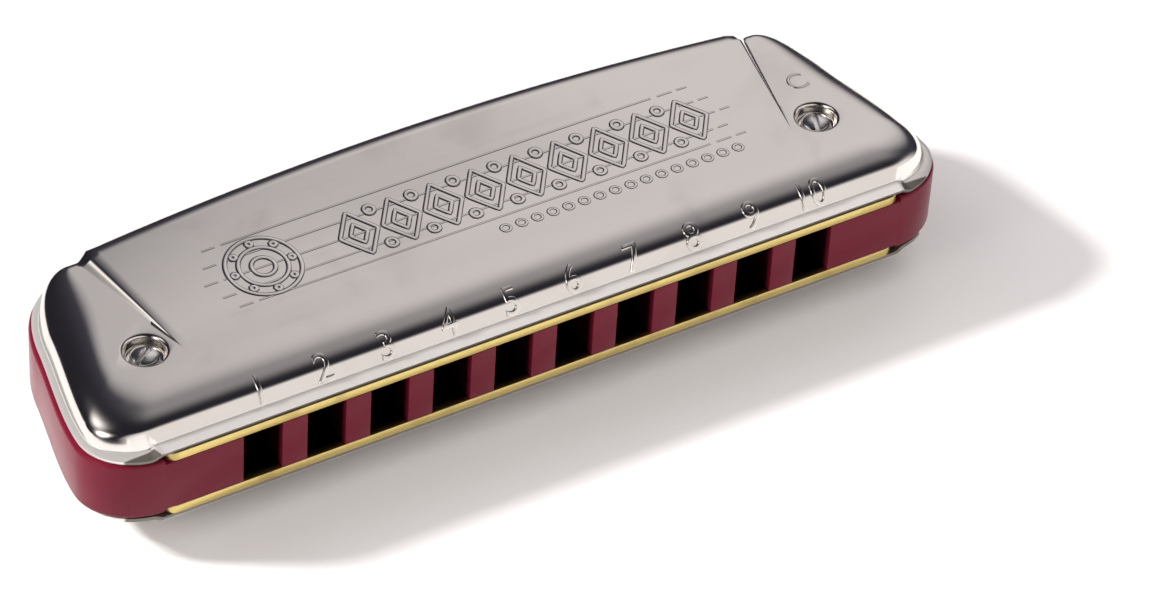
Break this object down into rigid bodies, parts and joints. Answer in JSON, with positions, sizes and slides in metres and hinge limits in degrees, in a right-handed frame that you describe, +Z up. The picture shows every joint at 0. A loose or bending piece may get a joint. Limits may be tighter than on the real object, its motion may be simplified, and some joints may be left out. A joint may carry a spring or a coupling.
{
  "type": "diatonic harmonica",
  "caption": "Diatonic harmonica: plastic comb with a row of mouth holes, brass reed plates with free reeds above and below, and pressed nickel covers open at the back.",
  "frame": {"origin": "under the middle of the harmonica's box, level with the lowest edge of the lower cover", "axes": "+X along the holes from hole 1 to hole 10, -Y out of the mouth face towards the player, +Z up through the upper cover"},
  "size_m": [0.1048, 0.03, 0.0192],
  "materials": {
    "comb_plastic": "glossy burgundy",
    "plate_brass": "satin brass sheet",
    "cover_nickel": "polished nickel plate",
    "reed_bronze": "milled bronze",
    "rivet_brass": "satin brass",
    "screw_steel": "nickel-plated steel"
  },
  "bodies": {
    "harmonica_body": {"comb": "comb_plastic", "blow_reed_plate": "plate_brass", "draw_reed_plate": "plate_brass", "upper_cover": "cover_nickel", "lower_cover": "cover_nickel", "blow_rivet_01": "rivet_brass", "blow_rivet_02": "rivet_brass", "blow_rivet_03": "rivet_brass", "blow_rivet_04": "rivet_brass", "blow_rivet_05": "rivet_brass", "blow_rivet_06": "rivet_brass", "blow_rivet_07": "rivet_brass", "blow_rivet_08": "rivet_brass", "blow_rivet_09": "rivet_brass", "blow_rivet_10": "rivet_brass", "draw_rivet_01": "rivet_brass", "draw_rivet_02": "rivet_brass", "draw_rivet_03": "rivet_brass", "draw_rivet_04": "rivet_brass", "draw_rivet_05": "rivet_brass", "draw_rivet_06": "rivet_brass", "draw_rivet_07": "rivet_brass", "draw_rivet_08": "rivet_brass", "draw_rivet_09": "rivet_brass", "draw_rivet_10": "rivet_brass", "cover_screw_1": "screw_steel", "cover_screw_2": "screw_steel", "cover_nut_1": "screw_steel", "cover_nut_2": "screw_steel", "plate_screw_1": "screw_steel", "plate_screw_2": "screw_steel", "plate_screw_3": "screw_steel", "plate_screw_4": "screw_steel", "plate_screw_5": "screw_steel"},
    "blow_reed_01_body": {"blow_reed_01": "reed_bronze"},
    "blow_reed_02_body": {"blow_reed_02": "reed_bronze"},
    "blow_reed_03_body": {"blow_reed_03": "reed_bronze"},
    "blow_reed_04_body": {"blow_reed_04": "reed_bronze"},
    "blow_reed_05_body": {"blow_reed_05": "reed_bronze"},
    "blow_reed_06_body": {"blow_reed_06": "reed_bronze"},
    "blow_reed_07_body": {"blow_reed_07": "reed_bronze"},
    "blow_reed_08_body": {"blow_reed_08": "reed_bronze"},
    "blow_reed_09_body": {"blow_reed_09": "reed_bronze"},
    "blow_reed_10_body": {"blow_reed_10": "reed_bronze"},
    "draw_reed_01_body": {"draw_reed_01": "reed_bronze"},
    "draw_reed_02_body": {"draw_reed_02": "reed_bronze"},
    "draw_reed_03_body": {"draw_reed_03": "reed_bronze"},
    "draw_reed_04_body": {"draw_reed_04": "reed_bronze"},
    "draw_reed_05_body": {"draw_reed_05": "reed_bronze"},
    "draw_reed_06_body": {"draw_reed_06": "reed_bronze"},
    "draw_reed_07_body": {"draw_reed_07": "reed_bronze"},
    "draw_reed_08_body": {"draw_reed_08": "reed_bronze"},
    "draw_reed_09_body": {"draw_reed_09": "reed_bronze"},
    "draw_reed_10_body": {"draw_reed_10": "reed_bronze"}
  },
  "joints": [
    {"name": "blow_reed_01_bend", "type": "hinge", "parent": "harmonica_body", "child": "blow_reed_01_body", "pos_m": [-0.03375, 0.00485, 0.01259], "axis": [1, 0, 0], "range_deg": [-4, 4], "stiffness_Nm_per_rad": 0.02, "deforming": ["blow_reed_01"]},
    {"name": "blow_reed_02_bend", "type": "hinge", "parent": "harmonica_body", "child": "blow_reed_02_body", "pos_m": [-0.02625, 0.00418, 0.01259], "axis": [1, 0, 0], "range_deg": [-4, 4], "stiffness_Nm_per_rad": 0.0209, "deforming": ["blow_reed_02"]},
    {"name": "blow_reed_03_bend", "type": "hinge", "parent": "harmonica_body", "child": "blow_reed_03_body", "pos_m": [-0.01875, 0.00352, 0.01259], "axis": [1, 0, 0], "range_deg": [-4, 4], "stiffness_Nm_per_rad": 0.0219, "deforming": ["blow_reed_03"]},
    {"name": "blow_reed_04_bend", "type": "hinge", "parent": "harmonica_body", "child": "blow_reed_04_body", "pos_m": [-0.01125, 0.00285, 0.01259], "axis": [1, 0, 0], "range_deg": [-4, 4], "stiffness_Nm_per_rad": 0.023, "deforming": ["blow_reed_04"]},
    {"name": "blow_reed_05_bend", "type": "hinge", "parent": "harmonica_body", "child": "blow_reed_05_body", "pos_m": [-0.00375, 0.00218, 0.01259], "axis": [1, 0, 0], "range_deg": [-4, 4], "stiffness_Nm_per_rad": 0.0242, "deforming": ["blow_reed_05"]},
    {"name": "blow_reed_06_bend", "type": "hinge", "parent": "harmonica_body", "child": "blow_reed_06_body", "pos_m": [0.00375, 0.00152, 0.01259], "axis": [1, 0, 0], "range_deg": [-4, 4], "stiffness_Nm_per_rad": 0.0255, "deforming": ["blow_reed_06"]},
    {"name": "blow_reed_07_bend", "type": "hinge", "parent": "harmonica_body", "child": "blow_reed_07_body", "pos_m": [0.01125, 0.00085, 0.01259], "axis": [1, 0, 0], "range_deg": [-4, 4], "stiffness_Nm_per_rad": 0.027, "deforming": ["blow_reed_07"]},
    {"name": "blow_reed_08_bend", "type": "hinge", "parent": "harmonica_body", "child": "blow_reed_08_body", "pos_m": [0.01875, 0.00018, 0.01259], "axis": [1, 0, 0], "range_deg": [-4, 4], "stiffness_Nm_per_rad": 0.0287, "deforming": ["blow_reed_08"]},
    {"name": "blow_reed_09_bend", "type": "hinge", "parent": "harmonica_body", "child": "blow_reed_09_body", "pos_m": [0.02625, -0.00048, 0.01259], "axis": [1, 0, 0], "range_deg": [-4, 4], "stiffness_Nm_per_rad": 0.0306, "deforming": ["blow_reed_09"]},
    {"name": "blow_reed_10_bend", "type": "hinge", "parent": "harmonica_body", "child": "blow_reed_10_body", "pos_m": [0.03375, -0.00115, 0.01259], "axis": [1, 0, 0], "range_deg": [-4, 4], "stiffness_Nm_per_rad": 0.0328, "deforming": ["blow_reed_10"]},
    {"name": "draw_reed_01_bend", "type": "hinge", "parent": "harmonica_body", "child": "draw_reed_01_body", "pos_m": [-0.03375, -0.00885, 0.00507], "axis": [1, 0, 0], "range_deg": [-4, 4], "stiffness_Nm_per_rad": 0.02, "deforming": ["draw_reed_01"]},
    {"name": "draw_reed_02_bend", "type": "hinge", "parent": "harmonica_body", "child": "draw_reed_02_body", "pos_m": [-0.02625, -0.00885, 0.00507], "axis": [1, 0, 0], "range_deg": [-4, 4], "stiffness_Nm_per_rad": 0.0209, "deforming": ["draw_reed_02"]},
    {"name": "draw_reed_03_bend", "type": "hinge", "parent": "harmonica_body", "child": "draw_reed_03_body", "pos_m": [-0.01875, -0.00885, 0.00507], "axis": [1, 0, 0], "range_deg": [-4, 4], "stiffness_Nm_per_rad": 0.0219, "deforming": ["draw_reed_03"]},
    {"name": "draw_reed_04_bend", "type": "hinge", "parent": "harmonica_body", "child": "draw_reed_04_body", "pos_m": [-0.01125, -0.00885, 0.00507], "axis": [1, 0, 0], "range_deg": [-4, 4], "stiffness_Nm_per_rad": 0.023, "deforming": ["draw_reed_04"]},
    {"name": "draw_reed_05_bend", "type": "hinge", "parent": "harmonica_body", "child": "draw_reed_05_body", "pos_m": [-0.00375, -0.00885, 0.00507], "axis": [1, 0, 0], "range_deg": [-4, 4], "stiffness_Nm_per_rad": 0.0242, "deforming": ["draw_reed_05"]},
    {"name": "draw_reed_06_bend", "type": "hinge", "parent": "harmonica_body", "child": "draw_reed_06_body", "pos_m": [0.00375, -0.00885, 0.00507], "axis": [1, 0, 0], "range_deg": [-4, 4], "stiffness_Nm_per_rad": 0.0255, "deforming": ["draw_reed_06"]},
    {"name": "draw_reed_07_bend", "type": "hinge", "parent": "harmonica_body", "child": "draw_reed_07_body", "pos_m": [0.01125, -0.00885, 0.00507], "axis": [1, 0, 0], "range_deg": [-4, 4], "stiffness_Nm_per_rad": 0.027, "deforming": ["draw_reed_07"]},
    {"name": "draw_reed_08_bend", "type": "hinge", "parent": "harmonica_body", "child": "draw_reed_08_body", "pos_m": [0.01875, -0.00885, 0.00507], "axis": [1, 0, 0], "range_deg": [-4, 4], "stiffness_Nm_per_rad": 0.0287, "deforming": ["draw_reed_08"]},
    {"name": "draw_reed_09_bend", "type": "hinge", "parent": "harmonica_body", "child": "draw_reed_09_body", "pos_m": [0.02625, -0.00885, 0.00507], "axis": [1, 0, 0], "range_deg": [-4, 4], "stiffness_Nm_per_rad": 0.0306, "deforming": ["draw_reed_09"]},
    {"name": "draw_reed_10_bend", "type": "hinge", "parent": "harmonica_body", "child": "draw_reed_10_body", "pos_m": [0.03375, -0.00885, 0.00507], "axis": [1, 0, 0], "range_deg": [-4, 4], "stiffness_Nm_per_rad": 0.0328, "deforming": ["draw_reed_10"]}
  ]
}
